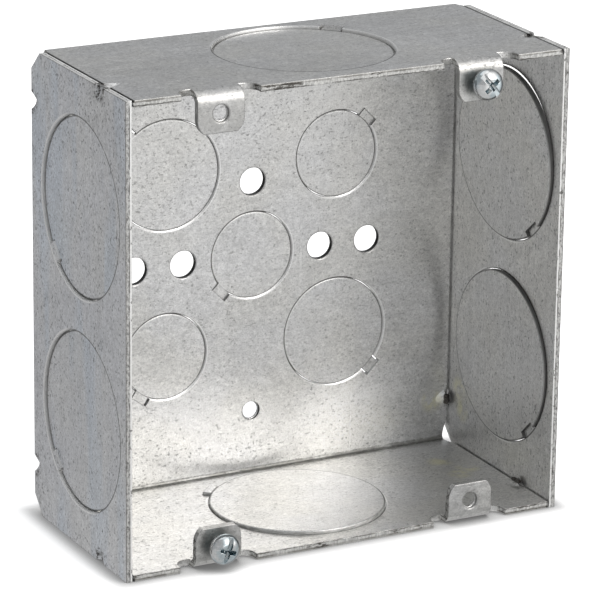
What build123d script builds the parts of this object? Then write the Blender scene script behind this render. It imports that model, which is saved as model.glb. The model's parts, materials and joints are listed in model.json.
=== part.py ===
"""Square welded steel junction box with hinged knockouts and two cover screws.

Frame, millimetres: the origin is the centre of the back plate's outer face,
+X to the right seen from the open front, +Z up, and the open front faces -Y.
"""
import os
from collections import namedtuple
from math import cos, radians, sin

from build123d import *

os.makedirs("parts", exist_ok=True)

# ---------------------------------------------------------------- box sizes
box_w = 119.06          # outside width and height, 4-11/16 in
box_d = 53.98           # depth, 2-1/8 in
sheet_t = 1.6           # sheet steel, 1/16 in
bend_r = 2.6            # outside radius of the two rear bends
seam_gap = 0.4          # open seam between the folded sheet and each side plate
side_chamfer_y = 4.9    # clipped rear corners of the side plates
side_chamfer_z = 4.7
relief_r = 6.0          # scooped relief at the ends of the rear bends
relief_depth = 1.1
relief_len = 16
cut_margin = 1          # overrun of cutting tools on each side of a sheet

half = box_w / 2
inner = half - sheet_t          # inside face of every wall
channel_half = inner - seam_gap  # the folded sheet stops short of the side plates
front = -box_d
sides = {"left": -1, "right": 1}

# ---------------------------------------------------------------- hole sizes
mount_hole_r = 3.55     # back plate fixing holes
inner_hole_x = 19.3
outer_hole_x = 32.8
top_hole_z = 19.3
ground_hole_z = -41.6
ground_hole_r = 2.46    # tapped for a No. 10-32 screw, wall at the thread's outer size
ground_break = 0.1
hole_break = 0.25

# ---------------------------------------------------------------- cover ears
ear_x = 34.9
ear_w = 12.2
ear_tip_w = 8.8
ear_tip_z = 49.2
ear_corner_h = 3.2      # height of the rounded tip corners
ear_corner_x_share = 0.36   # mid-point of the corner arc, as shares of its two spans
ear_corner_z_share = 0.62
ear_bend_r = 3.3
ear_root = 1.0          # overlap of each ear into the wall behind its notches
ear_hole_z = 53.9
ear_hole_r = 2.12
ear_notch_w = 4.2
ear_notch_d = 3.9
ear_notch_r = 3.0
ear_cut_margin = 0.5

ears = [(x, z) for z in (1, -1) for x in (-ear_x, ear_x)]   # centre X, sign of Z

# ----------------------------------------------------------------- knockouts
half_trade_r = 11.45    # hole radii: 1/2, 3/4 and 1-1/4 in trade sizes
three_quarter_r = 14.45
inch_quarter_r = 22.35
slug_gap = 0.22         # sheared gap round each slug
slug_break = 0.2
tie_slit = 0.45         # slits beside each tie
tie_len = 1.9           # reach of a tie from the hole's rim to its hinge
tie_block = 4           # length of the rectangle that draws a tie or its notch
wall_push = 0.7         # how far the wall slugs stand inwards of the sheet
back_slug_t = 1.2       # back slugs are coined thinner, flush behind

# centre (X, Z), hole radius, tie direction in degrees from +X towards +Z
back_knockouts = {
    "knockout_back_center": ((0.0, 0.0), half_trade_r, 225),
    "knockout_back_upper_right": ((23.7, 23.7), half_trade_r, 45),
    "knockout_back_lower_right": ((23.8, -23.6), three_quarter_r, -45),
    "knockout_back_lower_left": ((-24.1, -23.7), half_trade_r, 235),
    "knockout_back_upper_left": ((-23.8, 23.7), three_quarter_r, 135),
}
# centre (X, Y), hole radius, tie direction from +X towards +Y, tilt left by the press
wall_knockouts = {
    "knockout_top": ((0.6, -26.9), inch_quarter_r, 45, 0.35),
    "knockout_bottom": ((0.2, -27.4), inch_quarter_r, 135, 0.35),
}
# centre (Y, Z), hole radius, tie direction from +Y towards +Z, tilt left by the press
side_knockouts = {
    "knockout_left_upper": ((-28.2, 27.0), inch_quarter_r, -45, 0.2),
    "knockout_left_lower": ((-28.4, -26.7), inch_quarter_r, -45, 0.2),
    "knockout_right_upper": ((-28.6, 26.9), inch_quarter_r, -130, 1.7),
    "knockout_right_lower": ((-28.6, -26.7), inch_quarter_r, -133, 0.5),
}


def tie_width(hole_r):
    return 4.0 if hole_r < 20 else 5.0


def on_tie(centre, angle, distance):
    """Point in the wall's plane, at a distance from the centre along the tie direction."""
    return (centre[0] + cos(radians(angle)) * distance,
            centre[1] + sin(radians(angle)) * distance)


def save(part, name):
    part.label = name
    export_step(part, f"parts/{name}.step")


# -------------------------------------------------------------- weld pinches
# A pinch is a tapering dent pressed into the sheet from outside at its edge;
# the metal behind it bulges inwards by about a sheet's thickness.
pinch_y = -39.0         # pinches on the top and bottom seams
pinch_z = 46.8          # pinches on the rear seams
pinch_big_r = 2.5
pinch_small_r = 0.5
pinch_len = 6.0
pinch_lift = 1.15       # dent axis above the outer face
pinch_bump = 1.5        # growth of the dent shape that makes the bulge
tip_growth = 0.6        # shares of that growth at the small end and in length
length_growth = 0.7

window_len = 12         # box that trims each bulge: along the dent, across it, deep
window_w = 14
window_t = 3
window_overlap = 0.3    # how far the box reaches into the sheet
channel_setback = 1.2   # start of the box, from the inside face of the adjoining sheet
side_setback = 0.4

bead_r_long = 0.75
bead_r_short = 0.62
bead_turn = 35
bead_half_len = 1.3
bead_fillet = 0.3
bead_in_side = 0.95     # bead centre, inwards of the side plate's inside face
bead_in_wall = 0.75     # bead centre, inwards of the top, bottom or back wall's inside face

# corner is where the outer faces of the wall and the side plate would meet
Seam = namedtuple("Seam", "side wall corner side_out wall_out along")
# wall, Y and Z of the corner, outward direction of the wall, direction of the seam
pinch_places = [
    ("top", pinch_y, half, (0, 0, 1), (0, 1, 0)),
    ("bottom", pinch_y, -half, (0, 0, -1), (0, 1, 0)),
    ("rear", 0.0, pinch_z, (0, 1, 0), (0, 0, 1)),
    ("rear", 0.0, -pinch_z, (0, 1, 0), (0, 0, 1)),
]
seams = [
    Seam(side, wall, Vector(sx * half, y, z), Vector(sx, 0, 0), Vector(*wall_out), along)
    for side, sx in sides.items()
    for wall, y, z, wall_out, along in pinch_places
]


def channel_pinch(seam):
    """Corner, direction along the dent, outward direction, inset of the sheet's edge."""
    return seam.corner, -seam.side_out, seam.wall_out, sheet_t + seam_gap


def side_pinch(seam):
    """The same four values for the side plate, whose edge lies at the corner."""
    return seam.corner, -seam.wall_out, seam.side_out, 0


def pinch_dent(corner, run, out, inset, grow=0):
    axis = Plane(origin=corner + run * inset + out * pinch_lift, x_dir=out, z_dir=run)
    with BuildPart(axis) as dent:
        Cone(pinch_big_r + grow, pinch_small_r + grow * tip_growth,
             pinch_len + grow * length_growth,
             align=(Align.CENTER, Align.CENTER, Align.MIN))
    return dent.part


def pinch_bulge(corner, run, out, inset, setback):
    """Grown dent, trimmed to the part that stands inside the sheet."""
    window_centre = (corner + run * (sheet_t + setback + window_len / 2)
                     - out * (sheet_t + window_t / 2 - window_overlap))
    window_size = [window_len if along_run else window_t if along_out else window_w
                   for along_run, along_out in zip(run, out)]
    with BuildPart(mode=Mode.PRIVATE) as bulge:
        add(pinch_dent(corner, run, out, inset, pinch_bump))
        with Locations(window_centre):
            Box(*window_size, mode=Mode.INTERSECT)
    return bulge.part


def weld_bead(seam):
    """Small fused nugget in the crack between the two halves of one pinch."""
    centre = (seam.corner - seam.side_out * (sheet_t + bead_in_side)
              - seam.wall_out * (sheet_t + bead_in_wall))
    with BuildPart() as bead:
        with BuildSketch(Plane(origin=centre, x_dir=(1, 0, 0), z_dir=seam.along)):
            Ellipse(bead_r_long, bead_r_short, rotation=bead_turn)
        extrude(amount=bead_half_len, both=True)
        fillet(bead.edges().filter_by(GeomType.ELLIPSE), radius=bead_fillet)
    return bead.part


beads = [weld_bead(seam) for seam in seams]

# -------------------------------------------------------------- channel body
# One sheet folded into top wall, back plate and bottom wall.
ear_back = front + sheet_t              # inside face of the ears
ear_bend_y = front + ear_bend_r         # centre of the ear bend
ear_bend_z = half - ear_bend_r
ear_inner_r = ear_bend_r - sheet_t
ear_root_y = front + ear_notch_d + ear_root
ear_cut_plane = Plane.XZ.offset(-ear_back - ear_cut_margin)
ear_cut_len = sheet_t + 2 * ear_cut_margin
back_cut_plane = Plane.XZ.offset(-cut_margin)
wall_cut_len = sheet_t + 2 * cut_margin
diagonal = sin(radians(45))

# plane the cut starts from, centre, hole radius, tie direction
channel_openings = [(back_cut_plane, *knockout) for knockout in back_knockouts.values()]
for name, (centre, hole_r, angle, _) in wall_knockouts.items():
    cut_start = (inner if name.endswith("top") else -half) - cut_margin
    channel_openings.append((Plane.XY.offset(cut_start), centre, hole_r, angle))

with BuildPart() as channel_body:
    with BuildSketch(Plane.YZ.offset(-channel_half)):
        with BuildLine():
            Polyline((front, half), (0, half), (0, -half), (front, -half),
                     (front, -inner), (-sheet_t, -inner), (-sheet_t, inner),
                     (front, inner), (front, half))
        make_face()
    extrude(amount=2 * channel_half)
    long_edges = channel_body.edges().filter_by(Axis.X)
    fillet(long_edges.filter_by(lambda e: abs(e.center().Y) < 0.01), radius=bend_r)
    long_edges = channel_body.edges().filter_by(Axis.X)
    fillet(long_edges.filter_by(lambda e: abs(e.center().Y + sheet_t) < 0.01
                                and abs(e.center().Z) > inner - 0.1),
           radius=bend_r - sheet_t)

    # clear the front edge for the four ears and their relief notches
    for x in (-ear_x, ear_x):
        with BuildSketch(Plane.XY.offset(-half - cut_margin)) as notch:
            with Locations((x, front + ear_notch_d / 2)):
                Rectangle(ear_w + 2 * ear_notch_w, ear_notch_d)
            fillet(notch.vertices().group_by(Axis.Y)[-1], radius=ear_notch_r)
        extrude(amount=box_w + 2 * cut_margin, mode=Mode.SUBTRACT)

    # ears: the tongue left between the notches, bent towards the middle
    for x, up in ears:
        with BuildSketch(Plane.YZ.offset(x - ear_w / 2)):
            with BuildLine():
                Polyline((ear_root_y, up * half), (ear_bend_y, up * half))
                ThreePointArc((ear_bend_y, up * half),
                              (ear_bend_y - ear_bend_r * diagonal,
                               up * (ear_bend_z + ear_bend_r * diagonal)),
                              (front, up * ear_bend_z))
                Polyline((front, up * ear_bend_z), (front, up * ear_tip_z),
                         (ear_back, up * ear_tip_z), (ear_back, up * ear_bend_z))
                ThreePointArc((ear_back, up * ear_bend_z),
                              (ear_bend_y - ear_inner_r * diagonal,
                               up * (ear_bend_z + ear_inner_r * diagonal)),
                              (ear_bend_y, up * inner))
                Polyline((ear_bend_y, up * inner), (ear_root_y, up * inner),
                         (ear_root_y, up * half))
            make_face()
        extrude(amount=ear_w)

    # clip the ear tips to their narrowed, rounded outline
    for x, up in ears:
        for side in (-1, 1):
            edge_x = x + side * ear_w / 2
            tip_x = x + side * ear_tip_w / 2
            corner_z = up * (ear_tip_z + ear_corner_h)
            tip_z = up * ear_tip_z
            with BuildSketch(ear_cut_plane):
                with BuildLine():
                    ThreePointArc((edge_x, corner_z),
                                  (edge_x + (tip_x - edge_x) * ear_corner_x_share,
                                   corner_z + (tip_z - corner_z) * ear_corner_z_share),
                                  (tip_x, tip_z))
                    Polyline((tip_x, tip_z), (tip_x, tip_z - up), (edge_x + side, tip_z - up),
                             (edge_x + side, corner_z), (edge_x, corner_z))
                make_face()
            extrude(amount=ear_cut_len, mode=Mode.SUBTRACT)

    # tapped cover holes in the ears
    with BuildSketch(ear_cut_plane):
        with Locations(*[(x, up * ear_hole_z) for x, up in ears]):
            Circle(ear_hole_r)
    extrude(amount=ear_cut_len, mode=Mode.SUBTRACT)

    # fixing holes and the tapped ground hole in the back plate
    with BuildSketch(back_cut_plane):
        with Locations((0, top_hole_z), (-inner_hole_x, 0), (inner_hole_x, 0),
                       (-outer_hole_x, 0), (outer_hole_x, 0)):
            Circle(mount_hole_r)
        with Locations((0, ground_hole_z)):
            Circle(ground_hole_r)
    extrude(amount=wall_cut_len, mode=Mode.SUBTRACT)

    # break the front rims of all these holes
    for hole_r, rim_y, rim_break in ((mount_hole_r, -sheet_t, hole_break),
                                     (ground_hole_r, -sheet_t, ground_break),
                                     (ear_hole_r, front, hole_break)):
        rims = channel_body.edges().filter_by(GeomType.CIRCLE).filter_by(
            lambda e: abs(e.radius - hole_r) < 0.01 and abs(e.arc_center.Y - rim_y) < 0.01)
        chamfer(rims, length=rim_break)

    # knockout openings, each with its tie notch cut out into the sheet
    for cut_plane, centre, hole_r, angle in channel_openings:
        with BuildSketch(cut_plane):
            with Locations(centre):
                Circle(hole_r)
            with Locations(on_tie(centre, angle, hole_r + tie_len - tie_block / 2)):
                Rectangle(tie_block, tie_width(hole_r) + 2 * tie_slit, rotation=angle)
        extrude(amount=wall_cut_len, mode=Mode.SUBTRACT)

    # scooped relief where the rear bends meet the side plates
    for sx in (-1, 1):
        for sz in (-1, 1):
            relief_x = sx * (channel_half + relief_r - relief_depth)
            with BuildPart(Plane(origin=(relief_x, 0, sz * half), z_dir=(0, 1, sz)),
                           mode=Mode.SUBTRACT):
                Cylinder(relief_r, relief_len)

    # weld pinches: all bulges inside, then each dent outside and its bead's seat
    for seam in seams:
        add(pinch_bulge(*channel_pinch(seam), channel_setback))
    for seam, bead in zip(seams, beads):
        add(pinch_dent(*channel_pinch(seam)), mode=Mode.SUBTRACT)
        add(bead, mode=Mode.SUBTRACT)
save(channel_body.part, "channel_body")


# --------------------------------------------------------------- side plates
def side_plate(side, sx):
    low_x = -half if sx < 0 else inner
    with BuildPart() as plate:
        with BuildSketch(Plane.YZ.offset(low_x)):
            with BuildLine():
                Polyline((front, half), (-side_chamfer_y, half), (0, half - side_chamfer_z),
                         (0, -half + side_chamfer_z), (-side_chamfer_y, -half),
                         (front, -half), (front, half))
            make_face()
        extrude(amount=sheet_t)

        # knockout openings, each with its tie left standing into the opening
        for name, (centre, hole_r, angle, _) in side_knockouts.items():
            if side not in name:
                continue
            with BuildSketch(Plane.YZ.offset(low_x - cut_margin)):
                with Locations(centre):
                    Circle(hole_r)
                with Locations(on_tie(centre, angle, hole_r - tie_len + tie_block / 2)):
                    Rectangle(tie_block, tie_width(hole_r), rotation=angle,
                              mode=Mode.SUBTRACT)
            extrude(amount=wall_cut_len, mode=Mode.SUBTRACT)

        for seam in seams:
            if seam.side == side:
                add(pinch_bulge(*side_pinch(seam), side_setback))
        for seam, bead in zip(seams, beads):
            if seam.side == side:
                add(pinch_dent(*side_pinch(seam)), mode=Mode.SUBTRACT)
                add(bead, mode=Mode.SUBTRACT)
    save(plate.part, side + "_side_plate")


for side, sx in sides.items():
    side_plate(side, sx)


# ------------------------------------------------------------ knockout slugs
def slug(name, centre, radial, swing, hole_r, thick=sheet_t, tilt=0.0, tie_on_slug=True):
    """One slug, drawn from its hinge line: x to the slug's middle, z the way it swings.

    radial points from the centre to the tie. The tie is a tab on the slug,
    or else the slug is notched round a tie that belongs to the sheet.
    """
    inward, swing = -Vector(*radial), Vector(*swing)
    reach = hole_r + tie_len if tie_on_slug else hole_r - tie_len
    tilt_cos, tilt_sin = cos(radians(tilt)), sin(radians(tilt))
    hinge = Plane(origin=Vector(*centre) - inward * reach,
                  x_dir=inward * tilt_cos + swing * tilt_sin,
                  z_dir=swing * tilt_cos - inward * tilt_sin)
    with BuildPart() as body:
        with BuildSketch(hinge):
            with Locations((reach, 0)):
                Circle(hole_r - slug_gap)
            if tie_on_slug:
                with Locations((tie_block / 2, 0)):
                    Rectangle(tie_block, tie_width(hole_r))
            else:
                with Locations((-tie_block / 2, 0)):
                    Rectangle(tie_block, tie_width(hole_r) + 2 * tie_slit,
                              mode=Mode.SUBTRACT)
        extrude(amount=-thick)
        rim = body.edges().filter_by(GeomType.CIRCLE).filter_by(lambda e: e.radius > 5)
        chamfer(rim, length=slug_break)
    save(body.part, name)


slug_face = inner - wall_push   # inside face of the pushed-in wall slugs

for name, ((x, z), hole_r, angle) in back_knockouts.items():
    tie_x, tie_z = on_tie((0, 0), angle, 1)
    slug(name, centre=(x, 0, z), radial=(tie_x, 0, tie_z), swing=(0, 1, 0),
         hole_r=hole_r, thick=back_slug_t)
for name, ((x, y), hole_r, angle, tilt) in wall_knockouts.items():
    up = 1 if name.endswith("top") else -1
    slug(name, centre=(x, y, up * slug_face), radial=(*on_tie((0, 0), angle, 1), 0),
         swing=(0, 0, -up), hole_r=hole_r, tilt=tilt)
for name, ((y, z), hole_r, angle, tilt) in side_knockouts.items():
    sx = 1 if "right" in name else -1
    slug(name, centre=(sx * slug_face, y, z), radial=(0, *on_tie((0, 0), angle, 1)),
         swing=(-sx, 0, 0), hole_r=hole_r, tilt=tilt, tie_on_slug=False)

# -------------------------------------------------------------- cover screws
screw_major_r = 2.05    # No. 8-32 cover screw
screw_minor_r = 1.62
screw_pitch = 0.794
screw_len = 9.5
screw_stand_off = 2.35  # gap left under each head
thread_start = 0.5      # below the head
thread_end_gap = 1.1    # the last groove ends at least this far from the tip
neck_flare = 0.25       # extra radius where the shank meets the head
tip_len = 0.7
tip_inset = 0.55
head_r = 3.9
head_h = 3.2
crown_flat_r = 1.2
crown_mid = (2.95, -head_h * 0.79)      # radius, axial
head_rim_h = 0.75       # start of the head's rim, above its underside
slot_w = 1.3
slot_depth = 1.25
slot_margin = 0.5
recess_len = 4.5        # cross recess: length and width of each arm
recess_w = 1.25
recess_depth = 2.05
recess_taper = 14
recess_margin = 0.01


def cover_screw(name, x, z, slot_angle):
    """Round-head screw with a slot and cross recess, threads as ring grooves."""
    shank = [(screw_minor_r, thread_start)]
    groove = thread_start
    while groove + screw_pitch < screw_len - thread_end_gap:
        shank += [(screw_major_r, groove + 0.32 * screw_pitch),
                  (screw_major_r, groove + 0.5 * screw_pitch),
                  (screw_minor_r, groove + 0.82 * screw_pitch),
                  (screw_minor_r, groove + screw_pitch)]
        groove += screw_pitch
    shank += [(screw_minor_r, screw_len - tip_len), (screw_minor_r - tip_inset, screw_len),
              (0, screw_len), (0, -head_h)]

    with BuildPart() as screw:
        # profile in (radius, axial): head crown at negative axial, tip at positive
        with BuildSketch(Plane.XY):
            with BuildLine():
                Polyline((0, -head_h), (crown_flat_r, -head_h))
                Spline((crown_flat_r, -head_h), crown_mid, (head_r, -head_rim_h),
                       tangents=((1, 0), (0.05, 1)))
                Polyline((head_r, -head_rim_h), (head_r - 0.12, -0.15), (head_r - 0.3, 0),
                         (screw_minor_r + neck_flare, 0), (screw_minor_r, thread_start))
                Polyline(*shank)
            make_face()
        revolve(axis=Axis.Y)
        with BuildSketch(Plane.XZ.offset(head_h + slot_margin)):
            Rectangle(2 * head_r + 2, slot_w)
        extrude(amount=-(slot_depth + slot_margin), mode=Mode.SUBTRACT)
        with BuildSketch(Plane.XZ.offset(head_h + recess_margin)):
            Rectangle(recess_len, recess_w)
            Rectangle(recess_w, recess_len)
        extrude(amount=-recess_depth, taper=recess_taper, mode=Mode.SUBTRACT)
    save(Location((x, front - screw_stand_off, z), (0, -slot_angle, 0)) * screw.part, name)


cover_screw("cover_screw_upper_right", ear_x, ear_hole_z, slot_angle=-50)
cover_screw("cover_screw_lower_left", -ear_x, -ear_hole_z, slot_angle=70)

# ---------------------------------------------------------------- seam welds
for side in sides:
    for wall in ("top", "bottom", "rear"):
        with BuildPart() as weld:
            for seam, bead in zip(seams, beads):
                if (seam.side, seam.wall) == (side, wall):
                    add(bead)
        save(weld.part, f"weld_{side}_{wall}")
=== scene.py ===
import json
import math

import bmesh
import bpy
from mathutils import Matrix, Vector


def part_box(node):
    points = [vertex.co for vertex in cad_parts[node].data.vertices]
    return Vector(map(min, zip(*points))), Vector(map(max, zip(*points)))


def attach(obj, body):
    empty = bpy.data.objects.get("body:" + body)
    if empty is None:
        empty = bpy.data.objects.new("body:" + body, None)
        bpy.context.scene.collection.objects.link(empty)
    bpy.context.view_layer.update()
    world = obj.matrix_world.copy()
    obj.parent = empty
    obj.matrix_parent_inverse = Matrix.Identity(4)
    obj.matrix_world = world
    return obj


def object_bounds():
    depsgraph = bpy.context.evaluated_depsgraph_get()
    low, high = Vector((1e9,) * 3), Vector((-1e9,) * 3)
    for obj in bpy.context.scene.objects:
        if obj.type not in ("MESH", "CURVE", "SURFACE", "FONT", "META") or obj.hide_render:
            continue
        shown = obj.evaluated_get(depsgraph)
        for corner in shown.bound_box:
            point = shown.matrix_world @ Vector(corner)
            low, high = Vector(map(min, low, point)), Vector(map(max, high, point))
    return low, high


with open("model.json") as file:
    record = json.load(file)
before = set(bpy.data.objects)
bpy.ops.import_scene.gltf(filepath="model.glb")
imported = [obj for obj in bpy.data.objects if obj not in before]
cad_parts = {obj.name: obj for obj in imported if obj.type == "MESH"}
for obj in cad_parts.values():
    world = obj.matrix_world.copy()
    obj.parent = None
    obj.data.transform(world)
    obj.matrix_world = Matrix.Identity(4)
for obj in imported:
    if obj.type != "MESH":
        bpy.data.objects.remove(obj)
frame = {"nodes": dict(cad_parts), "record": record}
cad_box = [list(v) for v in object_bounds()]
nodes = frame["nodes"]
record = frame["record"]
mounts = {m["name"]: m for m in record["mounts"]}
scene = bpy.context.scene


# ------------------------------------------------------------------ node tools
class Mat:
    """Small helper that builds one node material."""

    def __init__(self, name):
        self.mat = bpy.data.materials.new(name)
        self.mat.use_nodes = True
        self.nt = self.mat.node_tree
        self.nt.nodes.clear()
        self.out = self.nt.nodes.new("ShaderNodeOutputMaterial")
        self.coord = self.nt.nodes.new("ShaderNodeTexCoord").outputs["Object"]

    def new(self, kind, **props):
        n = self.nt.nodes.new(kind)
        for k, v in props.items():
            setattr(n, k, v)
        return n

    def put(self, socket, value):
        if isinstance(value, bpy.types.NodeSocket):
            self.nt.links.new(value, socket)
        else:
            socket.default_value = value

    def math(self, op, a, b=0.0, clamp=False):
        n = self.new("ShaderNodeMath", operation=op, use_clamp=clamp)
        self.put(n.inputs[0], a)
        self.put(n.inputs[1], b)
        return n.outputs[0]

    def vmath(self, op, a, b=(0, 0, 0)):
        n = self.new("ShaderNodeVectorMath", operation=op)
        self.put(n.inputs[0], a)
        if op not in ("LENGTH", "NORMALIZE", "ABSOLUTE"):
            self.put(n.inputs[1], b)
        return n.outputs["Value"] if op in ("LENGTH", "DOT_PRODUCT", "DISTANCE") else n.outputs["Vector"]

    def mapped(self, scale, loc=(0, 0, 0), rot=(0, 0, 0)):
        n = self.new("ShaderNodeMapping")
        self.put(n.inputs["Vector"], self.coord)
        n.inputs["Scale"].default_value = scale
        n.inputs["Location"].default_value = loc
        n.inputs["Rotation"].default_value = rot
        return n.outputs["Vector"]

    def noise(self, scale, detail=3.0, rough=0.55, loc=(0, 0, 0), rot=(0, 0, 0), distort=0.0):
        n = self.new("ShaderNodeTexNoise")
        self.put(n.inputs["Vector"], self.mapped(scale if isinstance(scale, tuple) else (scale,) * 3, loc, rot))
        n.inputs["Scale"].default_value = 1.0
        n.inputs["Detail"].default_value = detail
        n.inputs["Roughness"].default_value = rough
        n.inputs["Distortion"].default_value = distort
        return n.outputs["Fac"]

    def ramp(self, fac, lo, hi, a=0.0, b=1.0, smooth=True):
        n = self.new("ShaderNodeMapRange", interpolation_type="SMOOTHSTEP" if smooth else "LINEAR")
        self.put(n.inputs["Value"], fac)
        n.inputs["From Min"].default_value = lo
        n.inputs["From Max"].default_value = hi
        n.inputs["To Min"].default_value = a
        n.inputs["To Max"].default_value = b
        return n.outputs["Result"]

    def mix(self, fac, a, b, blend="MIX"):
        n = self.new("ShaderNodeMix", data_type="RGBA", blend_type=blend)
        self.put(n.inputs[0], fac)
        self.put(n.inputs[6], a if isinstance(a, bpy.types.NodeSocket) else (*a, 1.0))
        self.put(n.inputs[7], b if isinstance(b, bpy.types.NodeSocket) else (*b, 1.0))
        return n.outputs[2]

    def gray(self, v):
        n = self.new("ShaderNodeCombineXYZ")
        for i in range(3):
            self.put(n.inputs[i], v)
        return n.outputs[0]

    def bump(self, height, distance, normal=None):
        n = self.new("ShaderNodeBump")
        n.inputs["Strength"].default_value = 1.0
        n.inputs["Distance"].default_value = distance
        self.put(n.inputs["Height"], height)
        if normal is not None:
            self.put(n.inputs["Normal"], normal)
        return n.outputs["Normal"]

    def near_points(self, points, inner, outer):
        """1 close to any of the points, 0 beyond outer."""
        d = None
        for p in points:
            one = self.vmath("DISTANCE", self.coord, tuple(p))
            d = one if d is None else self.math("MINIMUM", d, one)
        return self.ramp(d, inner, outer, 1.0, 0.0)

    def line(self, dist, centre, width):
        """1 where dist is close to centre, fading out at centre plus or minus width."""
        return self.ramp(self.math("ABSOLUTE", self.math("SUBTRACT", dist, centre)), width * 0.35, width, 1.0, 0.0)

    def rims(self, items, hole):
        """Painted shade and painted highlight lines along sheared circles, given as (centre, radius, thin axis).
        For the sheet round the openings, or for a slug's own rim. Gives a dark painted shade line on one side of
        the circle and a bright painted highlight line on the other, sided by the camera, and the mask of the rim's
        wall."""
        dark = bright = wall = None
        ragged = self.ramp(self.noise(330, 3, 0.6, (3, 7, 5)), 0.28, 0.5, 0.55, 1.0)
        geo = self.new("ShaderNodeNewGeometry")
        sepn = self.new("ShaderNodeSeparateXYZ")
        self.put(sepn.inputs[0], self.vmath("ABSOLUTE", geo.outputs["True Normal"]))
        for centre, radius, axis in items:
            k = "XYZ".index(axis)
            v = self.vmath("SUBTRACT", self.coord, tuple(centre))
            sepv = self.new("ShaderNodeSeparateXYZ")
            self.put(sepv.inputs[0], v)
            near = self.math("LESS_THAN", self.math("ABSOLUTE", sepv.outputs[k]), 0.0026)
            vf = self.vmath("MULTIPLY", v, tuple(0.0 if i == k else 1.0 for i in range(3)))
            d = self.vmath("LENGTH", vf)
            s = self.math("SUBTRACT", d, radius) if hole else self.math("SUBTRACT", radius, d)
            lean = self.vmath("DOT_PRODUCT", self.vmath("NORMALIZE", vf), CAMERA_SIDE)
            front = self.ramp(lean, -0.12, 0.22)
            back = self.math("SUBTRACT", 1.0, front)
            face = self.ramp(sepn.outputs[k], 0.5, 0.8)
            here = self.math("MULTIPLY", near, self.math("MULTIPLY", face, ragged))
            # painted light: a shade line on the arcs on one side and a highlight line on the other, chosen by how each
            # arc faces the camera
            if hole:
                wide = 1.0 if axis == "Y" else 1.4
                thin = 0.4 if axis == "Z" and centre[2] < 0 else 1.0
                dk = self.math("MULTIPLY", self.line(s, 0.00008 * wide * thin, 0.00021 * wide * thin), front)
                br = self.math("MULTIPLY", self.line(s, 0.00016 * wide, 0.00030 * wide), back)
            else:
                wide = 1.0 if axis == "Y" else 2.3
                dk = self.math("MULTIPLY", self.line(s, 0.00007 * wide, 0.00017 * wide), back)
                br = self.math("MULTIPLY", self.line(s, 0.00022, 0.00028), self.math("MULTIPLY", front, 0.7 if axis == "Y" else 0.15))
            dk = self.math("MULTIPLY", dk, here)
            br = self.math("MULTIPLY", br, here)
            wl = self.math("MULTIPLY", self.ramp(s, 0.00012, 0.00006), self.math("MULTIPLY", near, self.ramp(sepn.outputs[k], 0.6, 0.4)))
            dark = dk if dark is None else self.math("MAXIMUM", dark, dk)
            bright = br if bright is None else self.math("MAXIMUM", bright, br)
            wall = wl if wall is None else self.math("MAXIMUM", wall, wl)
        return dark, bright, wall

    def worn_edge(self, radius):
        """1 on outside corners, found by comparing the rounded and the true normal."""
        bev = self.new("ShaderNodeBevel", samples=6)
        bev.inputs["Radius"].default_value = radius
        geo = self.new("ShaderNodeNewGeometry")
        dot = self.vmath("DOT_PRODUCT", bev.outputs["Normal"], geo.outputs["Normal"])
        return self.ramp(dot, 0.995, 0.90), self.ramp(dot, 0.90, 0.80), bev.outputs["Normal"]

    def bsdf(self, color, rough, metal, normal=None, aniso=0.0, **extra):
        b = self.new("ShaderNodeBsdfPrincipled")
        self.put(b.inputs["Base Color"], color)
        self.put(b.inputs["Roughness"], rough)
        self.put(b.inputs["Metallic"], metal)
        if normal is not None:
            self.put(b.inputs["Normal"], normal)
        b.inputs["Anisotropic"].default_value = aniso
        self.nt.links.new(b.outputs[0], self.out.inputs["Surface"])
        return b


MM = 0.001
half = 59.53 * MM
front_y = -53.98 * MM
pinches = []
for sx in (-1, 1):
    for sz in (-1, 1):
        pinches.append((sx * half, -39.0 * MM, sz * half))
        pinches.append((sx * half, 0.0, sz * 46.8 * MM))


holes = []
for key in ("inner_fixing_holes", "outer_fixing_holes"):
    reach = mounts[key]["dims"]["spacing_x_mm"] / 2 * MM
    holes += [(-reach, -0.8 * MM, 0.0), (reach, -0.8 * MM, 0.0)]
for key in ("top_fixing_hole", "ground_screw_hole"):
    holes.append((mounts[key]["pos_m"][0], -0.8 * MM, mounts[key]["pos_m"][2]))


# the direction toward the camera, which picks the side of every sheared circle that gets the painted shade line or the
# painted highlight line
CAMERA_SIDE = (-0.44, -0.84, 0.31)
hinges = {j["child"]: j["pos_m"] for j in record["behaviour"]["joints"] if j["type"] == "hinge"}


def circle_of(n):
    """Centre, radius and thin axis of a knockout slug, from its box and its tie's side."""
    lo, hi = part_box(n)
    size = [hi[i] - lo[i] for i in range(3)]
    k = size.index(min(size))
    flat = [i for i in range(3) if i != k]
    r = min(size[i] for i in flat) / 2
    c = [(lo[i] + hi[i]) / 2 for i in range(3)]
    for i in flat:
        if size[i] > 2 * r + 0.3 * MM:
            c[i] = hi[i] - r if hinges[n][i] < c[i] else lo[i] + r
    return c, r, "XYZ"[k]


circles = {n: circle_of(n) for n in nodes if n.startswith("knockout")}
openings = {"channel_body": [], "left_side_plate": [], "right_side_plate": []}
for n, (c, r, axis) in sorted(circles.items()):
    host = "channel_body" if axis != "X" else "left_side_plate" if c[0] < 0 else "right_side_plate"
    openings[host].append((c, r + 0.22 * MM, axis))
screw_spots = []
for n in sorted(nodes):
    if n.startswith("cover_screw"):
        lo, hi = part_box(n)
        screw_spots.append(((lo[0] + hi[0]) / 2, front_y, (lo[2] + hi[2]) / 2))


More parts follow.
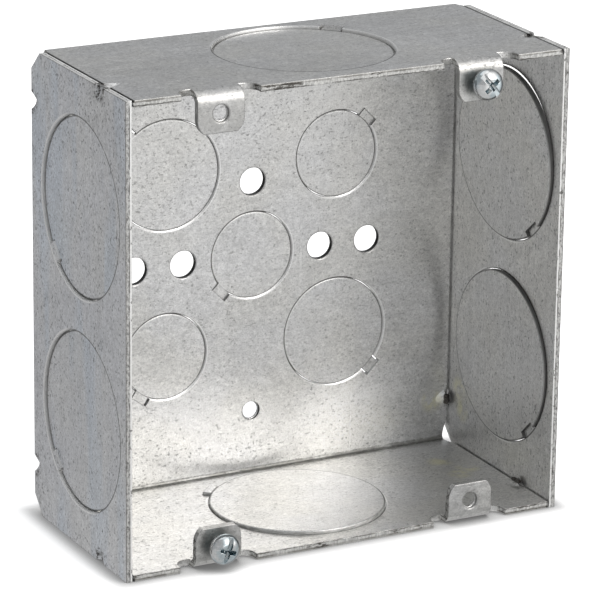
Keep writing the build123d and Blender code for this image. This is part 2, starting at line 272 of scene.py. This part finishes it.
def sheet_metal(name, tint, roll, seed, cut_axis, rough=0.34, value=1.0, fleck=1.0, blue=0.0, rings=(), slug=False):
    """Galvanized rolled sheet. roll is the rolling direction, 'X' or 'Z'; cut_axis is the
    direction the sheet is thin in, used to find its sheared edges ('C' for the folded one)."""
    m = Mat(name)
    off = (seed * 1.37, seed * 2.11, seed * 0.73)
    off2 = (off[1], off[2], off[0])
    off3 = (off[2], off[0], off[1])

    def dirs(along, across):
        return (along, across, across) if roll == "X" else (across, across, along)

    # an even, fine zinc grain at three sizes, faint rolling streaks, soft clouds
    fine = m.noise(dirs(2300, 2700), 2, 0.6, off)
    grain = m.noise(dirs(900, 1300), 3, 0.65, off2)
    mottle = m.noise(dirs(230, 300), 3, 0.6, off3, distort=0.5)
    streak = m.noise(dirs(26, 700), 3, 0.6, off)
    cloud = m.noise(30, 2, 0.5, off)
    cloud2 = m.noise(52, 2, 0.5, off2)

    # dark flecks, a little longer along the rolling direction, denser in places
    density = m.ramp(m.noise(70, 2, 0.5, off3), 0.35, 0.65, 0.028, 0.0)
    fl = m.math("SUBTRACT", m.noise(dirs(960, 1600), 1.0, 0.4, off3), density)
    fleck_mask = m.ramp(fl, 0.635, 0.70)
    dot = m.math("SUBTRACT", m.noise(dirs(1350, 1500), 0.5, 0.4, off2), density)
    dot_mask = m.ramp(dot, 0.685, 0.73)

    scratch_a = m.ramp(m.noise((900, 900, 16) if roll == "X" else (16, 900, 900), 1, 0.4, off, rot=(0.15, 0.5, 0.2)), 0.745, 0.775)
    scratch_b = m.ramp(m.noise((11, 1300, 1300), 1, 0.4, off2, rot=(0.1, -0.35, 0.12)), 0.75, 0.775)
    scratch = m.math("MAXIMUM", scratch_a, scratch_b)

    v = m.ramp(fine, 0.25, 0.75, 0.80, 1.20, False)
    v = m.math("MULTIPLY", v, m.ramp(grain, 0.25, 0.75, 0.80, 1.18, False))
    v = m.math("MULTIPLY", v, m.ramp(mottle, 0.25, 0.75, 0.92, 1.08, False))
    v = m.math("MULTIPLY", v, m.ramp(streak, 0.25, 0.75, 0.95, 1.05, False))
    v = m.math("MULTIPLY", v, m.ramp(cloud, 0.3, 0.7, 0.95, 1.05, False))
    v = m.math("SUBTRACT", v, m.math("MULTIPLY", fleck_mask, 0.36 * fleck))
    v = m.math("SUBTRACT", v, m.math("MULTIPLY", dot_mask, 0.42 * fleck))
    v = m.math("ADD", v, m.math("MULTIPLY", scratch, 0.12))
    v = m.math("MULTIPLY", v, value)

    # barely tinted, except the bluish bands on the outer left plate
    col = m.mix(m.ramp(cloud2, 0.35, 0.65), tuple(c * k for c, k in zip(tint, (0.994, 0.998, 1.006))),
                tuple(c * k for c, k in zip(tint, (1.006, 1.003, 0.986))))
    if blue:
        band = m.ramp(m.noise(dirs(14, 95), 2, 0.5, off3), 0.48, 0.66)
        col = m.mix(m.math("MULTIPLY", band, blue), col, (0.62, 0.70, 0.80))
    col = m.mix(1.0, col, m.gray(v), "MULTIPLY")

    # sheared edges: greyer than the face, ribbed by the shear, with dark tears
    geo = m.new("ShaderNodeNewGeometry")
    sep = m.new("ShaderNodeSeparateXYZ")
    m.put(sep.inputs[0], m.vmath("ABSOLUTE", geo.outputs["True Normal"]))
    pos = m.new("ShaderNodeSeparateXYZ")
    m.put(pos.inputs[0], m.coord)
    if cut_axis == "C":
        # a painted pool of light low on the back plate, and straw-coloured painted glints by the corner
        lit_patch_painted = m.math("MULTIPLY", m.ramp(pos.outputs[2], -31 * MM, -44 * MM), m.math("MULTIPLY", m.ramp(pos.outputs[0], 6 * MM, 26 * MM), m.ramp(pos.outputs[0], 54 * MM, 38 * MM)))
        lit_patch_painted = m.math("MULTIPLY", lit_patch_painted, m.ramp(pos.outputs[1], -2.6 * MM, -1.7 * MM))
        col = m.mix(1.0, col, m.gray(m.ramp(lit_patch_painted, 0.0, 1.0, 1.0, 1.30, False)), "MULTIPLY")
    if cut_axis == "C" or name == "galvanized_right_plate":
        marks = [(47 * MM, -17 * MM, -58 * MM), (51.5 * MM, -24 * MM, -58 * MM), (47.5 * MM, -27 * MM, -58 * MM),
                 (53 * MM, -1.6 * MM, -47 * MM), (58 * MM, -7 * MM, -42.5 * MM), (58 * MM, -9 * MM, -48 * MM)]
        # painted reflection: straw-coloured glints of the weld bump on the nearby sheet
        straw_glint_painted = m.math("MULTIPLY", m.near_points(marks, 0.8 * MM, 4.2 * MM), m.ramp(m.noise(300, 3, 0.6, off), 0.36, 0.60))
        col = m.mix(m.math("MULTIPLY", straw_glint_painted, 0.55), col, (0.98, 0.95, 0.66))
    if cut_axis == "C":
        rim = m.math("MULTIPLY", m.ramp(sep.outputs[1], 0.7, 0.8), m.math("LESS_THAN", pos.outputs[1], front_y + 0.0001))
        rim = m.math("MULTIPLY", rim, m.math("GREATER_THAN", m.math("ABSOLUTE", pos.outputs[2]), half - 1.7 * MM))
        cut = m.math("MAXIMUM", rim, m.ramp(sep.outputs[0], 0.75, 0.85))
        ribs = m.noise((2600, 900, 900), 2, 0.6, off)
    else:
        cut = m.ramp(sep.outputs["XYZ".index(cut_axis)], 0.35, 0.25)
        ribs = m.noise(tuple(2600 if ax == cut_axis else 500 for ax in "XYZ"), 2, 0.6, off)
    depth = m.math("ABSOLUTE", pos.outputs[0 if cut_axis == "X" else 2 if cut_axis in "CZ" else 1])
    ragged = m.noise(230, 4, 0.7, off3)
    if slug:
        # painted shade: the sheared wall's tone is set by the slug's facing, darkest on the upright slugs and lightest
        # on the flat ones
        dark_rib_shaded, light_rib_shaded = {"X": (0.10, 0.34), "Y": (0.13, 0.40), "Z": (0.46, 0.76)}[cut_axis]
        cut_col = m.mix(m.ramp(ribs, 0.30, 0.70), (dark_rib_shaded, dark_rib_shaded, dark_rib_shaded * 0.97), (light_rib_shaded, light_rib_shaded, light_rib_shaded * 0.98))
    elif cut_axis == "C":
        wobble = m.math("ADD", depth, m.math("MULTIPLY", m.math("SUBTRACT", m.noise(900, 3, 0.7, off), 0.5), 0.0006))
        cut_col = m.mix(m.ramp(ribs, 0.35, 0.65), (0.50, 0.50, 0.49), (0.74, 0.74, 0.72))
        low = m.math("MULTIPLY", m.ramp(wobble, half - 0.72 * MM, half - 0.50 * MM), m.ramp(m.noise(160, 3, 0.6, off), 0.34, 0.52, 0.35, 1.0))
        cut_col = m.mix(m.math("MULTIPLY", low, 0.78), cut_col, (0.16, 0.15, 0.13))
        high = m.math("MULTIPLY", m.line(wobble, half - 1.40 * MM, 0.20 * MM), m.ramp(ragged, 0.36, 0.52))
        cut_col = m.mix(m.math("MULTIPLY", high, 0.85), cut_col, (0.07, 0.065, 0.058))
        tear = m.math("MULTIPLY", m.ramp(m.noise((420, 900, 1100), 3, 0.7, off), 0.50, 0.58), m.ramp(m.noise(90, 2, 0.6, off2), 0.47, 0.56))
        cut_col = m.mix(m.math("MULTIPLY", tear, 0.9), cut_col, (0.045, 0.038, 0.030))
        foot = m.line(depth, half - 0.10 * MM, 0.14 * MM)
        cut_col = m.mix(m.math("MULTIPLY", foot, 0.55), cut_col, (0.80, 0.80, 0.79))
    elif cut_axis == "X":
        speck = m.noise((1900, 1500, 1100), 3, 0.7, off)
        cut_col = m.mix(m.ramp(speck, 0.32, 0.62), (0.24, 0.24, 0.235), (0.66, 0.66, 0.65))
        # the upright edges are speckled; the top and bottom ones are painted bright, a painted highlight set by their
        # facing
        cut_col = m.mix(m.math("MULTIPLY", m.ramp(sep.outputs[2], 0.6, 0.9), 0.75), cut_col, (0.93, 0.93, 0.92))
        shine = m.ramp(depth, half - 1.05 * MM, half - 1.20 * MM)
        cut_col = m.mix(m.math("MULTIPLY", shine, 0.92), cut_col, (0.98, 0.98, 0.97))
        split = m.math("MULTIPLY", m.line(depth, half - 1.02 * MM, 0.16 * MM), m.ramp(ragged, 0.42, 0.55))
        cut_col = m.mix(m.math("MULTIPLY", split, 0.85), cut_col, (0.08, 0.077, 0.07))
        rim_line = m.math("MULTIPLY", m.line(depth, half - 0.05 * MM, 0.17 * MM), m.ramp(ragged, 0.30, 0.45, 0.4, 1.0))
        cut_col = m.mix(m.math("MULTIPLY", rim_line, 0.8), cut_col, (0.09, 0.087, 0.08))
        chips = m.math("MULTIPLY", m.ramp(m.noise((900, 900, 520), 3, 0.7, off2), 0.60, 0.66), 0.8)
        cut_col = m.mix(chips, cut_col, (0.07, 0.065, 0.06))
    else:
        cut_col = m.mix(m.ramp(ribs, 0.35, 0.65), (0.50, 0.50, 0.495), (0.66, 0.66, 0.65))
    col = m.mix(m.math("MULTIPLY", cut, 0.94), col, cut_col)
    if slug and cut_axis == "X":
        # painted shade: the broken corner round the rim is darkened to the wall's tone, so it shows no bright
        # reflection
        col = m.mix(m.math("MULTIPLY", m.ramp(sep.outputs[0], 0.97, 0.86), 0.8), col, (0.20, 0.20, 0.195))

    edge, lip, round_n = m.worn_edge(0.00015 if slug and cut_axis == "X" else 0.00042)
    keep = m.math("SUBTRACT", 1.0, m.math("MULTIPLY", cut, 0.8 if cut_axis in "XC" else 0.3))
    wear = m.math("MULTIPLY", m.math("MULTIPLY", edge, keep), m.ramp(m.noise(420, 3, 0.6, off), 0.25, 0.48))
    if slug and cut_axis != "Y":
        wear = m.math("MULTIPLY", wear, 0.3)
    col = m.mix(m.math("MULTIPLY", wear, 0.60), col, (0.96, 0.96, 0.95))
    lip = m.math("MULTIPLY", m.math("MULTIPLY", lip, keep), m.ramp(m.noise(260, 3, 0.6, off3), 0.30, 0.55))
    col = m.mix(m.math("MULTIPLY", lip, 0.72), col, (0.10, 0.097, 0.09))

    if cut_axis == "C":
        # painted shade in the inside of the two bends, and the duller ears
        corner = m.math("POWER", m.math("ADD", m.math("POWER", m.math("SUBTRACT", m.math("ABSOLUTE", pos.outputs[2]), half - 1.6 * MM), 2.0),
                                        m.math("POWER", m.math("ADD", pos.outputs[1], 1.6 * MM), 2.0)), 0.5)
        wavy = m.math("ADD", corner, m.math("MULTIPLY", m.math("SUBTRACT", m.noise(520, 4, 0.7, off), 0.5), 0.0011))
        bend_shade_painted = m.math("MULTIPLY", m.ramp(wavy, 1.20 * MM, 0.62 * MM), m.ramp(m.noise(150, 4, 0.7, off2), 0.28, 0.52, 0.55, 1.0))
        col = m.mix(m.math("MULTIPLY", bend_shade_painted, 0.80), col, (0.14, 0.138, 0.122))
        bend_shade_halo = m.math("MULTIPLY", m.ramp(corner, 4.5 * MM, 1.2 * MM), m.math("GREATER_THAN", half - 1.4 * MM, m.math("ABSOLUTE", pos.outputs[2])))
        col = m.mix(m.math("MULTIPLY", bend_shade_halo, 0.14), col, (0.20, 0.20, 0.18))
        seam = m.math("MULTIPLY", m.ramp(m.math("ABSOLUTE", pos.outputs[0]), half - 2.42 * MM, half - 2.20 * MM), m.math("GREATER_THAN", m.math("ABSOLUTE", pos.outputs[2]), half - 0.5 * MM))
        seam = m.math("MULTIPLY", seam, m.ramp(ragged, 0.30, 0.46, 0.5, 1.0))
        col = m.mix(m.math("MULTIPLY", seam, 0.93), col, (0.035, 0.034, 0.032))
        ear = m.math("MULTIPLY", m.ramp(pos.outputs[1], -51.9 * MM, -52.4 * MM), m.ramp(m.math("ABSOLUTE", pos.outputs[2]), half - 1.7 * MM, half - 2.2 * MM))
        stain = m.ramp(m.noise(240, 3, 0.6, off3), 0.35, 0.65, 0.12, 0.34)
        col = m.mix(m.math("MULTIPLY", ear, stain), col, (0.22, 0.22, 0.21))
        fold = m.math("LESS_THAN", m.math("ABSOLUTE", m.math("SUBTRACT", m.math("ABSOLUTE", pos.outputs[0]), abs(mounts["cover_hole_upper_left"]["pos_m"][0]))), 9 * MM)
        fold = m.math("MULTIPLY", fold, m.ramp(pos.outputs[1], -50.9 * MM, -52.6 * MM))
        col = m.mix(m.math("MULTIPLY", fold, 0.20), col, (0.16, 0.16, 0.155))
        # painted shadow of the screw heads on the ears
        under = m.math("MULTIPLY", ear, m.near_points(screw_spots, 2.6 * MM, 6.4 * MM))
        col = m.mix(m.math("MULTIPLY", under, 0.50), col, (0.10, 0.11, 0.105))

    # grime and shadow in the seams, slits and corners
    ao = m.new("ShaderNodeAmbientOcclusion", samples=8)
    ao.inputs["Distance"].default_value = 0.0005
    gap = m.ramp(ao.outputs["AO"], 0.48, 0.20)
    if slug:
        gap = m.math("MULTIPLY", gap, m.math("SUBTRACT", 1.0, m.math("MULTIPLY", cut, 0.45)))
    wall = None
    if rings:
        rim_shade_painted, rim_highlight_painted, wall = m.rims(rings, not slug)
        if not slug:
            # painted highlight: the wall of each opening is painted near white, and the painted gap shade on it is
            # lifted
            gap = m.math("MULTIPLY", gap, m.math("SUBTRACT", 1.0, m.math("MULTIPLY", wall, 0.8)))
            col = m.mix(m.math("MULTIPLY", wall, 0.85), col, (0.97, 0.97, 0.96))
    col = m.mix(m.math("MULTIPLY", gap, 0.94), col, (0.022, 0.021, 0.019))

    if cut_axis == "C":
        # painted shade: the walls of the fixing holes are darkened near black
        bore_shade_painted = m.math("MULTIPLY", m.near_points(holes, 3.9 * MM, 4.0 * MM), m.ramp(sep.outputs[1], 0.45, 0.30))
        col = m.mix(m.math("MULTIPLY", bore_shade_painted, 0.98), col, (0.026, 0.025, 0.024))
    if rings:
        # painted highlight and painted shade lines round the sheared circles
        col = m.mix(m.math("MULTIPLY", rim_highlight_painted, 0.85), col, (0.99, 0.99, 0.98))
        col = m.mix(m.math("MULTIPLY", rim_shade_painted, 0.80), col, (0.055, 0.054, 0.05))

    # heat and pressure marks round the pinches
    scorch = m.near_points(pinches, 1.2 * MM, 5.0 * MM)
    stain = m.math("MULTIPLY", scorch, m.ramp(m.noise(360, 3, 0.6, off), 0.42, 0.60))
    spot = m.math("MULTIPLY", m.ramp(scorch, 0.15, 0.6), m.ramp(m.noise(850, 3, 0.7, off2), 0.50, 0.57))
    col = m.mix(m.math("MULTIPLY", stain, 0.55), col, (0.085, 0.078, 0.068))
    col = m.mix(m.math("MULTIPLY", spot, 0.85), col, (0.035, 0.030, 0.025))

    r = m.ramp(streak, 0.25, 0.75, rough - 0.02, rough + 0.02, False)
    r = m.math("ADD", r, m.ramp(grain, 0.3, 0.7, -0.05, 0.06, False))
    r = m.math("ADD", r, m.ramp(cloud, 0.3, 0.7, -0.02, 0.03, False))
    r = m.math("ADD", r, m.math("MULTIPLY", fleck_mask, 0.15))
    r = m.math("ADD", r, m.math("MULTIPLY", cut, 0.24))
    r = m.math("ADD", r, m.math("MULTIPLY", gap, 0.35))
    r = m.math("SUBTRACT", r, m.math("MULTIPLY", wear, 0.10), True)
    metal = m.math("SUBTRACT", 0.94, m.math("MULTIPLY", m.math("MAXIMUM", fleck_mask, gap), 0.5))

    n = m.bump(m.noise(26, 2, 0.4, off), 0.00028, round_n)                 # panel waviness
    n = m.bump(mottle, 0.000014, n)
    n = m.bump(grain, 0.0000090, n)
    n = m.bump(fine, 0.0000040, n)
    marks = m.math("ADD", m.math("MULTIPLY", m.math("MAXIMUM", fleck_mask, dot_mask), -1.0), m.math("MULTIPLY", scratch, -0.35))
    n = m.bump(marks, 0.000022, n)
    n = m.bump(m.math("MULTIPLY", cut, ribs), 0.00005, n)
    if wall is not None and not slug:
        # on the folded sheet the mouth of each opening is rolled over, so its wall looks half way to the face
        gn = m.new("ShaderNodeNewGeometry")
        sign = m.vmath("SIGN", m.vmath("ADD", m.coord, (0.0, 0.8 * MM, 0.0)))
        if cut_axis == "C":
            face = m.vmath("MULTIPLY", sign, (0.0, 1.0, 0.0))
            turned = m.vmath("NORMALIZE", m.vmath("ADD", m.vmath("MULTIPLY", gn.outputs["True Normal"], (0.45,) * 3), face))
            pick = m.math("MULTIPLY", wall, m.math("LESS_THAN", m.math("ABSOLUTE", m.math("ADD", pos.outputs[1], 0.8 * MM)), 0.9 * MM))
            mixn = m.new("ShaderNodeMix", data_type="VECTOR")
            m.put(mixn.inputs[0], pick)
            m.put(mixn.inputs[4], n)
            m.put(mixn.inputs[5], turned)
            n = mixn.outputs[1]
    m.bsdf(col, r, metal, n)
    return m.mat


def zinc_screw(name):
    m = Mat(name)
    fine = m.noise(1500, 3, 0.6)
    soft = m.noise(260, 2, 0.5)
    blue = m.ramp(m.noise(330, 2, 0.5, (3, 1, 2)), 0.4, 0.6)
    col = m.mix(blue, (0.79, 0.80, 0.80), (0.60, 0.68, 0.71))
    v = m.math("MULTIPLY", m.ramp(fine, 0.3, 0.7, 0.88, 1.06, False), m.ramp(soft, 0.3, 0.7, 0.92, 1.04, False))
    col = m.mix(1.0, col, m.gray(v), "MULTIPLY")
    ao = m.new("ShaderNodeAmbientOcclusion", samples=6, only_local=True)
    ao.inputs["Distance"].default_value = 0.0010
    # painted shade in the cross recess, broken by painted glints
    hollow = m.ramp(ao.outputs["AO"], 0.18, 0.62, 1.0, 0.0)
    recess_glint_painted = m.ramp(m.noise(2100, 3, 0.7, (2, 5, 1)), 0.42, 0.62)
    col = m.mix(m.math("MULTIPLY", hollow, 0.70), col, m.mix(recess_glint_painted, (0.05, 0.13, 0.17), (0.75, 0.90, 0.95)))
    # painted shade: the head darkens towards its outline as seen from the camera
    rim = m.new("ShaderNodeLayerWeight")
    rim.inputs["Blend"].default_value = 0.5
    col = m.mix(m.ramp(rim.outputs["Facing"], 0.42, 0.86, 0.0, 0.80), col, (0.12, 0.13, 0.135))
    edge, lip, round_n = m.worn_edge(0.00016)
    col = m.mix(m.math("MULTIPLY", edge, 0.5), col, (0.97, 0.97, 0.97))
    r = m.math("ADD", m.ramp(fine, 0.3, 0.7, 0.10, 0.19, False), m.math("MULTIPLY", hollow, 0.12))
    n = m.bump(fine, 0.000006, round_n)
    n = m.bump(soft, 0.00002, n)
    m.bsdf(col, r, 1.0, n)
    return m.mat


def weld_metal(name):
    m = Mat(name)
    a = m.noise(900, 4, 0.7)
    b = m.noise(300, 3, 0.6, (5, 5, 1))
    col = m.mix(m.ramp(a, 0.35, 0.65), (0.022, 0.020, 0.018), (0.20, 0.19, 0.175))
    col = m.mix(m.ramp(b, 0.5, 0.68), col, (0.10, 0.072, 0.052))
    n = m.bump(a, 0.00012)
    n = m.bump(b, 0.0002, n)
    m.bsdf(col, m.ramp(a, 0.3, 0.7, 0.38, 0.7, False), 0.75, n)
    return m.mat


zinc = (0.740, 0.738, 0.732)
cool = (0.732, 0.737, 0.757)
materials = {
    "channel_body": sheet_metal("galvanized_folded_sheet", zinc, "X", 1.0, "C", fleck=0.62, rings=openings["channel_body"]),
    "left_side_plate": sheet_metal("galvanized_left_plate", cool, "Z", 2.3, "X", rough=0.36, fleck=1.1, blue=0.4, rings=openings["left_side_plate"]),
    "right_side_plate": sheet_metal("galvanized_right_plate", zinc, "Z", 3.9, "X", fleck=1.0, rings=openings["right_side_plate"]),
}
shared = {}
for i, n in enumerate(sorted(nodes)):
    if n in circles:
        c, r, axis = circles[n]
        own = [(nodes[n].matrix_world.inverted() @ Vector(c), r, axis)]
        side = cool if n.startswith("knockout_left") else zinc
        materials[n] = sheet_metal("slug_" + n, side, "Z" if axis == "X" else "X", 4.0 + i, axis,
                                   rough=0.36 if side is cool else 0.34, value=1.01 if axis == "Y" else 1.0,
                                   fleck=1.05 if axis == "X" else 0.62, blue=0.45 if side is cool else 0.0,
                                   rings=own, slug=True)
    elif n.startswith("cover_screw"):
        if "screw" not in shared:
            shared["screw"] = zinc_screw("zinc_plated_screw")
        materials[n] = shared["screw"]
    elif n.startswith("weld"):
        if "weld" not in shared:
            shared["weld"] = weld_metal("weld_bead_metal")
        materials[n] = shared["weld"]

for n, o in nodes.items():
    o.data.materials.clear()
    o.data.materials.append(materials[n])


# ----------------------------------------------------- threads in the open holes
def thread_helix(name, centre, r, pitch, depth, height, lead):
    """A thread ridge wound inside a hole whose axis runs along Y."""
    bm = bmesh.new()
    turns = depth / pitch
    steps = int(40 * turns)
    rings = []
    for i in range(steps + 1):
        t = i / steps
        a = 2 * math.pi * turns * t + lead
        y = -depth / 2 + depth * t
        fade = max(0.03, min(1.0, t * turns / 0.35, (1 - t) * turns / 0.35))
        ring = []
        for dr, dy in ((0.0, -0.42), (-height * fade, -0.10), (-height * fade, 0.10), (0.0, 0.42)):
            rr = r + dr
            ring.append(bm.verts.new((centre[0] + rr * math.cos(a), centre[1] + y + dy * pitch * fade,
                                      centre[2] + rr * math.sin(a))))
        rings.append(ring)
    for a, b in zip(rings, rings[1:]):
        for k in range(3):
            bm.faces.new((a[k], a[k + 1], b[k + 1], b[k]))
        bm.faces.new((a[3], a[0], b[0], b[3]))
    bm.faces.new(rings[0][::-1])
    bm.faces.new(rings[-1])
    bmesh.ops.recalc_face_normals(bm, faces=bm.faces)
    mesh = bpy.data.meshes.new(name)
    bm.to_mesh(mesh)
    bm.free()
    o = bpy.data.objects.new(name, mesh)
    scene.collection.objects.link(o)
    for p in mesh.polygons:
        p.use_smooth = False
    return o


thread_mat = sheet_metal("tapped_thread_metal", (0.78, 0.78, 0.78), "X", 9.5, "Z", rough=0.28, fleck=0.6)
for label, key, pitch in (("thread_upper_left", "cover_hole_upper_left", 0.794),
                          ("thread_lower_right", "cover_hole_lower_right", 0.794),
                          ("thread_ground_hole", "ground_screw_hole", 0.794)):
    mt = mounts[key]
    r = mt["dims"]["r_mm"] * MM
    length = mt["dims"]["length_mm"] * MM
    centre = list(mt["pos_m"])
    if key == "ground_screw_hole":      # its wall starts at the back plate's outer face
        centre[1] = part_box("channel_body")[1][1] - length / 2
    helix = thread_helix(label, centre, r + 0.00001, pitch * MM, length - 0.5 * pitch * MM, 0.00032, 1.1)
    helix.data.materials.append(thread_mat)
    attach(helix, "box")

# ------------------------------------------------------------------------ stage
low = cad_box[0]
floor_mesh = bpy.data.meshes.new("floor")
bm = bmesh.new()
bmesh.ops.create_grid(bm, x_segments=24, y_segments=24, size=4.0)
for v in bm.verts:
    v.co.z = low[2] - 0.00002
bm.to_mesh(floor_mesh)
bm.free()
floor = bpy.data.objects.new("floor", floor_mesh)
scene.collection.objects.link(floor)
fm = Mat("pale_floor")
cloud = fm.noise(5, 3, 0.5)
paper = fm.noise(900, 3, 0.6)
fcol = fm.mix(cloud, (0.90, 0.90, 0.90), (0.93, 0.93, 0.93))
diff = fm.new("ShaderNodeBsdfDiffuse")
fm.put(diff.inputs["Color"], fcol)
fm.put(diff.inputs["Normal"], fm.bump(paper, 0.00004))
# painted contact shadow from ambient occlusion close to the box
contact = fm.new("ShaderNodeAmbientOcclusion", samples=12)
contact.inputs["Distance"].default_value = 0.007
shade = fm.ramp(contact.outputs["AO"], 0.25, 0.95, 0.30, 1.0)
# painted contact shadow: a soft band all round the box's footprint
foot_lo, foot_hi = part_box("channel_body")
foot = fm.vmath("SUBTRACT", fm.vmath("ABSOLUTE", fm.vmath("SUBTRACT", fm.coord, ((foot_lo[0] + foot_hi[0]) / 2, (foot_lo[1] + foot_hi[1]) / 2, 0.0))),
                (half, (foot_hi[1] - foot_lo[1]) / 2, 1.0))
foot = fm.vmath("LENGTH", fm.vmath("MAXIMUM", foot, (0.0, 0.0, 0.0)))
band = fm.ramp(foot, 0.0, 0.0060, 0.56, 1.0)
band2 = fm.ramp(foot, 0.0, 0.020, 0.95, 1.0)
shade = fm.math("MULTIPLY", shade, fm.math("MULTIPLY", band, band2))
fm.put(diff.inputs["Color"], fm.mix(1.0, fcol, fm.gray(shade), "MULTIPLY"))
glow = fm.new("ShaderNodeEmission")
fm.put(glow.inputs["Strength"], fm.math("MULTIPLY", shade, 0.68))
addn = fm.new("ShaderNodeAddShader")
fm.nt.links.new(diff.outputs[0], addn.inputs[0])
fm.nt.links.new(glow.outputs[0], addn.inputs[1])
# in the metal's reflections the floor falls off to the rear and the left
fsep = fm.new("ShaderNodeSeparateXYZ")
fm.put(fsep.inputs[0], fm.coord)
fr_x = fm.ramp(fsep.outputs[0], -0.15, 0.35)
fr_y = fm.ramp(fsep.outputs[1], 0.10, -0.35)
far = fm.new("ShaderNodeEmission")
fm.put(far.inputs["Color"], fcol)
fm.put(far.inputs["Strength"], fm.math("ADD", fm.math("ADD", 0.50, fm.math("MULTIPLY", 0.23, fr_y)), fm.math("MULTIPLY", 0.42, fm.math("MULTIPLY", fr_x, fr_y))))
flp = fm.new("ShaderNodeLightPath")
fmix = fm.new("ShaderNodeMixShader")
fm.nt.links.new(flp.outputs["Is Camera Ray"], fmix.inputs[0])
fm.nt.links.new(far.outputs[0], fmix.inputs[1])
fm.nt.links.new(addn.outputs[0], fmix.inputs[2])
# seen from below the floor is clear, so the underside can be looked at
under = fm.new("ShaderNodeNewGeometry")
clear = fm.new("ShaderNodeBsdfTransparent")
fmix2 = fm.new("ShaderNodeMixShader")
fm.put(fmix2.inputs[0], fm.math("MULTIPLY", under.outputs["Backfacing"], flp.outputs["Is Camera Ray"]))
fm.nt.links.new(fmix.outputs[0], fmix2.inputs[1])
fm.nt.links.new(clear.outputs[0], fmix2.inputs[2])
fm.nt.links.new(fmix2.outputs[0], fm.out.inputs["Surface"])
floor_mesh.materials.append(fm.mat)

# room light: soft grey behind, bright in front and to the right, pale to the camera
world = bpy.data.worlds.new("studio")
scene.world = world
world.use_nodes = True
wt = world.node_tree
wt.nodes.clear()


def wn(kind, **props):
    n = wt.nodes.new(kind)
    for k, v in props.items():
        setattr(n, k, v)
    return n


def wmath(op, a, b=0.0, clamp=False):
    n = wn("ShaderNodeMath", operation=op, use_clamp=clamp)
    for i, v in enumerate((a, b)):
        if isinstance(v, bpy.types.NodeSocket):
            wt.links.new(v, n.inputs[i])
        else:
            n.inputs[i].default_value = v
    return n.outputs[0]


def wramp(v, lo, hi, a, b):
    n = wn("ShaderNodeMapRange", interpolation_type="SMOOTHSTEP")
    wt.links.new(v, n.inputs["Value"])
    n.inputs["From Min"].default_value = lo
    n.inputs["From Max"].default_value = hi
    n.inputs["To Min"].default_value = a
    n.inputs["To Max"].default_value = b
    return n.outputs["Result"]


wtc = wn("ShaderNodeTexCoord")
wsep = wn("ShaderNodeSeparateXYZ")
wt.links.new(wtc.outputs["Generated"], wsep.inputs[0])
dx, dy, dz = wsep.outputs
frontness = wramp(dy, 0.25, -0.75, 0.0, 1.0)
rightness = wramp(dx, -0.25, 0.35, 0.0, 1.0)
upness = wramp(dz, -0.02, 0.18, 0.0, 1.0)
soft_box = wmath("MULTIPLY", wmath("MULTIPLY", frontness, rightness), upness)
base = wmath("ADD", 0.39, wmath("MULTIPLY", frontness, 0.06))
level = wmath("ADD", base, wmath("MULTIPLY", soft_box, 1.45))
combine = wn("ShaderNodeCombineColor")
wt.links.new(wmath("MULTIPLY", level, wmath("ADD", 0.985, wmath("MULTIPLY", soft_box, 0.042))), combine.inputs[0])
wt.links.new(wmath("MULTIPLY", level, 1.0), combine.inputs[1])
wt.links.new(wmath("MULTIPLY", level, wmath("SUBTRACT", 1.018, wmath("MULTIPLY", soft_box, 0.045))), combine.inputs[2])
bg_light = wn("ShaderNodeBackground")
wt.links.new(combine.outputs[0], bg_light.inputs["Color"])
bg_seen = wn("ShaderNodeBackground")
bg_seen.inputs["Color"].default_value = (0.97, 0.97, 0.97, 1)
lp = wn("ShaderNodeLightPath")
mixw = wn("ShaderNodeMixShader")
wt.links.new(lp.outputs["Is Camera Ray"], mixw.inputs[0])
wt.links.new(bg_light.outputs[0], mixw.inputs[1])
wt.links.new(bg_seen.outputs[0], mixw.inputs[2])
wout = wn("ShaderNodeOutputWorld")
wt.links.new(mixw.outputs[0], wout.inputs["Surface"])


def area(name, loc, target, size, power, color=(1, 1, 1)):
    light = bpy.data.lights.new(name, "AREA")
    light.shape = "DISK"
    light.size = size
    light.energy = power
    light.color = color
    o = bpy.data.objects.new(name, light)
    o.location = loc
    o.rotation_euler = (Vector(target) - Vector(loc)).to_track_quat("-Z", "Y").to_euler()
    scene.collection.objects.link(o)
    return o


area("key_soft", (0.55, -1.25, 0.95), (0, -0.03, 0), 0.9, 4.0, (1.0, 0.985, 0.965))
area("top_fill", (-0.1, 0.25, 1.5), (0, 0, 0), 1.4, 3.0)

# ----------------------------------------------------------------------- camera
cam_data = bpy.data.cameras.new("camera")
cam = bpy.data.objects.new("camera", cam_data)
scene.collection.objects.link(cam)
scene.camera = cam
focal_px = 3944.3066
place = Vector((-429.2991, -849.4599, 295.5459)) * MM
right = Vector((0.8880321527, -0.4596218595, 0.0121095798))
down = Vector((-0.1312167810, -0.2785895046, -0.9514042486))
ahead = Vector((0.4406597918, 0.8432885830, -0.3077065384))
cam_data.sensor_width = 36.0
cam_data.lens = focal_px / 600 * 36.0
cam_data.clip_start, cam_data.clip_end = 0.05, 50
rot = Matrix((right, -down, -ahead)).transposed()
cam.matrix_world = Matrix.Translation(place) @ rot.to_4x4()

scene.view_settings.view_transform = "Standard"
